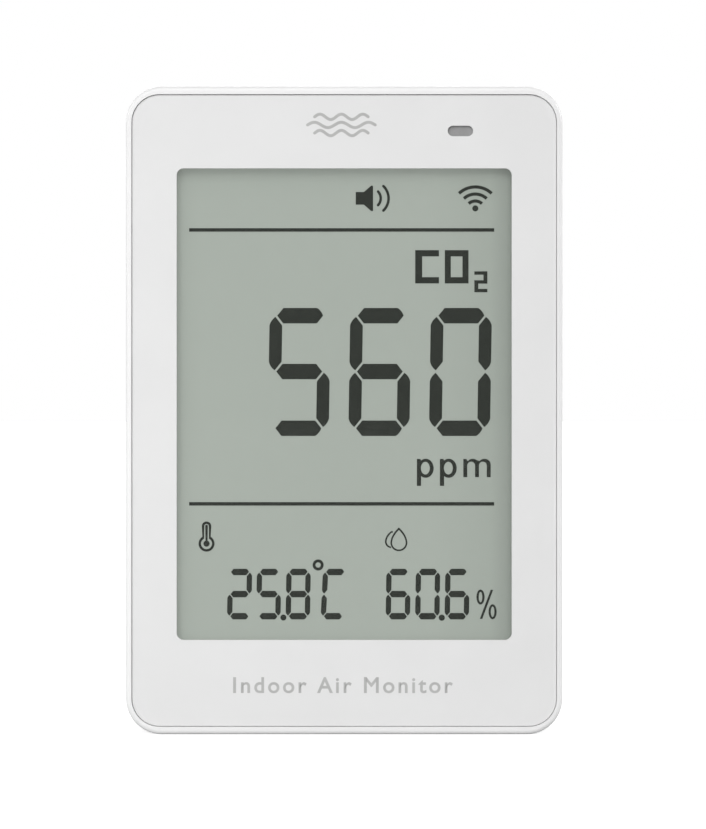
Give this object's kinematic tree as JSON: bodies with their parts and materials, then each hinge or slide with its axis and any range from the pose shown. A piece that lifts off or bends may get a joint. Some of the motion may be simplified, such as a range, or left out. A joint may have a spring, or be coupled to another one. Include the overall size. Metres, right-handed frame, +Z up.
{
  "type": "carbon dioxide monitor",
  "caption": "Flat white desk and wall carbon dioxide monitor with a large segment display, rear vents, side power socket, side button and fold-out rear stand.",
  "frame": {"origin": "centre of the flat base, on the plane that the monitor stands on", "axes": "+Z up along the body's height, +Y towards the back, -Y towards the viewer, +X to the viewer's right"},
  "size_m": [0.062, 0.022, 0.092],
  "materials": {
    "face_plastic": "fine satin moulded white",
    "housing_plastic": "fine satin moulded white",
    "window_glass": "clear, polished",
    "foam": "soft closed-cell foam",
    "polarizer_film": "grey-green film behind the segments",
    "display_glass": "clear thin glass",
    "white_plastic": "moulded white",
    "clear_acrylic": "clear acrylic",
    "smoke_acrylic": "grey translucent acrylic",
    "led_package": "yellow phosphor in a white package",
    "zebra_rubber": "striped silicone",
    "circuit_board": "green solder mask",
    "steel": "zinc-plated",
    "gold_plate": "gold plated",
    "chip_black": "black moulding compound",
    "tin": "tinned",
    "aluminium_can": "drawn can",
    "ceramic": "fired ceramic body",
    "lamp_glass": "clear lamp envelope",
    "brass_disc": "rolled disc",
    "steel_mesh": "woven dust mesh",
    "pad_rubber": "soft grey rubber"
  },
  "bodies": {
    "root": {"front_cover": "face_plastic", "rear_housing": "housing_plastic", "display_lens": "window_glass", "display_gasket": "foam", "lcd_front_polarizer": "polarizer_film", "lcd_rear_polarizer": "polarizer_film", "lcd_front_glass": "display_glass", "lcd_rear_glass": "display_glass", "display_frame": "white_plastic", "backlight_diffuser": "white_plastic", "backlight_reflector": "white_plastic", "co2_dust_filter": "white_plastic", "light_guide": "clear_acrylic", "status_light_pipe": "smoke_acrylic", "backlight_leds": "led_package", "status_led": "led_package", "zebra_connector": "zebra_rubber", "main_board": "circuit_board", "co2_sensor_board": "circuit_board", "wifi_board": "circuit_board", "board_screws": "steel", "case_screws": "steel", "stand_pin": "steel", "usb_c_shell": "steel", "wifi_shield": "steel", "clock_crystal": "steel", "co2_detector": "steel", "co2_sensor_pins": "gold_plate", "co2_optical_chamber": "gold_plate", "driver_chip": "chip_black", "voltage_regulator": "chip_black", "buzzer_case": "chip_black", "switch_body": "chip_black", "usb_c_tongue": "chip_black", "chip_resistors": "chip_black", "climate_sensor": "chip_black", "power_inductor": "chip_black", "driver_leads": "tin", "input_capacitor": "aluminium_can", "chip_capacitors": "ceramic", "co2_lamp": "lamp_glass", "buzzer_diaphragm": "brass_disc", "vent_meshes": "steel_mesh"},
    "stand": {"stand_leg": "housing_plastic", "stand_foot_pad": "pad_rubber"},
    "button": {"function_button": "housing_plastic", "switch_plunger": "white_plastic"}
  },
  "joints": [
    {"name": "stand_fold", "type": "hinge", "parent": "root", "child": "stand", "pos_m": [0, 0.0092, 0.0618], "axis": [1, 0, 0], "range_deg": [0, 29]},
    {"name": "button_press", "type": "slide", "parent": "root", "child": "button", "axis": [-1, 0, 0], "range_m": [0, 0.00035], "stiffness_N_per_m": 4000, "springref_m": -0.0001}
  ]
}
